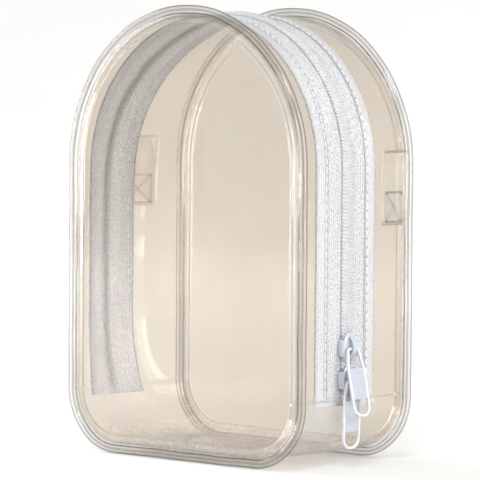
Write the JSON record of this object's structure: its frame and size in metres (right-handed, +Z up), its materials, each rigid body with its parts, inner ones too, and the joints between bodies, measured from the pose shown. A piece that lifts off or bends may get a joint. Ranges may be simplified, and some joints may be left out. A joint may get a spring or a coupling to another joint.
{
  "type": "clear zip bag",
  "caption": "Small clear film bag with an arched top, welted front and back panels, a deep gusset and a two-slider coil zip round the sides and arch",
  "frame": {"origin": "on the surface the bag stands on, under the middle of its overall box, slider pulls included", "axes": "+X to the side with the sliders, +Y from the front panel to the back panel, +Z up"},
  "size_m": [0.1216, 0.062, 0.165],
  "materials": {
    "clear_film": "clear flexible PVC film, glossy, slightly wavy",
    "clear_piping": "clear flexible PVC welt, glossy",
    "white_tape": "white woven polyester zip tape, matt",
    "white_coil": "white nylon coil, satin",
    "white_enamel": "white enamel on zinc, glossy"
  },
  "bodies": {
    "root": {"front_panel": "clear_film", "back_panel": "clear_film", "gusset_front_strip": "clear_film", "gusset_back_strip": "clear_film", "bottom_gusset": "clear_film", "left_loop_tab": "clear_film", "right_loop_tab": "clear_film", "front_piping": "clear_piping", "back_piping": "clear_piping", "zipper_tape_front": "white_tape", "zipper_tape_back": "white_tape", "core_cord_front": "white_tape", "core_cord_back": "white_tape", "coil_front": "white_coil", "coil_back": "white_coil"},
    "upper_slider": {"upper_slider_body": "white_enamel", "upper_slider_crown": "white_enamel"},
    "upper_pull": {"upper_pull": "white_enamel"},
    "lower_slider": {"lower_slider_body": "white_enamel", "lower_slider_crown": "white_enamel"},
    "lower_pull": {"lower_pull": "white_enamel"}
  },
  "joints": [
    {"name": "upper_slider_travel", "type": "slide", "parent": "root", "child": "upper_slider", "axis": [0, 0, 1], "range_m": [0, 0.058]},
    {"name": "upper_pull_swing", "type": "hinge", "parent": "upper_slider", "child": "upper_pull", "pos_m": [0.05507, -0.0035, 0.0428], "axis": [0, -1, 0], "range_deg": [0, 160]},
    {"name": "lower_slider_travel", "type": "slide", "parent": "root", "child": "lower_slider", "axis": [0, 0, 1], "range_m": [-0.002, 0]},
    {"name": "lower_pull_swing", "type": "hinge", "parent": "lower_slider", "child": "lower_pull", "pos_m": [0.05507, -0.0035, 0.0314], "axis": [0, -1, 0], "range_deg": [0, 14]}
  ]
}
